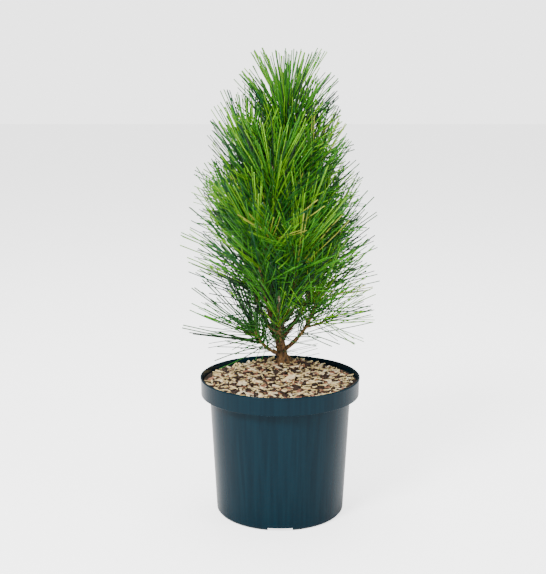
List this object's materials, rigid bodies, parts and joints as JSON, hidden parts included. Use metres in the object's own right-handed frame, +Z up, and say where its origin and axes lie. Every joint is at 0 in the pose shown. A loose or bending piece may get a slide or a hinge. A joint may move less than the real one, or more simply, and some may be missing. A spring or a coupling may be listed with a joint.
{
  "type": "potted young columnar black pine",
  "caption": "Young upright pine with long needles in a round plastic nursery pot, filled to its collar and topped with bark chips.",
  "frame": {"origin": "middle of the pot's flat underside, on the surface it stands on", "axes": "+Z up along the plant, -Y to the front as pictured, +X to the right in that view"},
  "size_m": [0.2438, 0.2343, 0.5482],
  "materials": {
    "pot": "semi-gloss moulded plastic, dark petrol blue",
    "filling": "loose shredded bark and wood chips over potting mix",
    "bark": "young scaly bark",
    "bud": "resinous bud scales",
    "needles": "satin green needles"
  },
  "bodies": {
    "root": {"bark_filling": "filling", "bough_back_left": "bark", "bough_back_low": "bark", "bough_back_right": "bark", "bough_back_upper": "bark", "bough_front_left": "bark", "bough_front_low": "bark", "bough_front_right": "bark", "bough_front_upper": "bark", "bough_left_low": "bark", "bough_left_middle": "bark", "bough_left_upper": "bark", "bough_right_low": "bark", "bough_right_middle": "bark", "bough_right_upper": "bark", "bough_top_shoot": "bark", "leader_bud": "bud", "needles_back_left": "needles", "needles_back_low": "needles", "needles_back_right": "needles", "needles_back_upper": "needles", "needles_front_left": "needles", "needles_front_low": "needles", "needles_front_right": "needles", "needles_front_upper": "needles", "needles_leader": "needles", "needles_left_low": "needles", "needles_left_middle": "needles", "needles_left_upper": "needles", "needles_right_low": "needles", "needles_right_middle": "needles", "needles_right_upper": "needles", "needles_top_shoot": "needles", "pot": "pot", "trunk": "bark"}
  },
  "joints": []
}
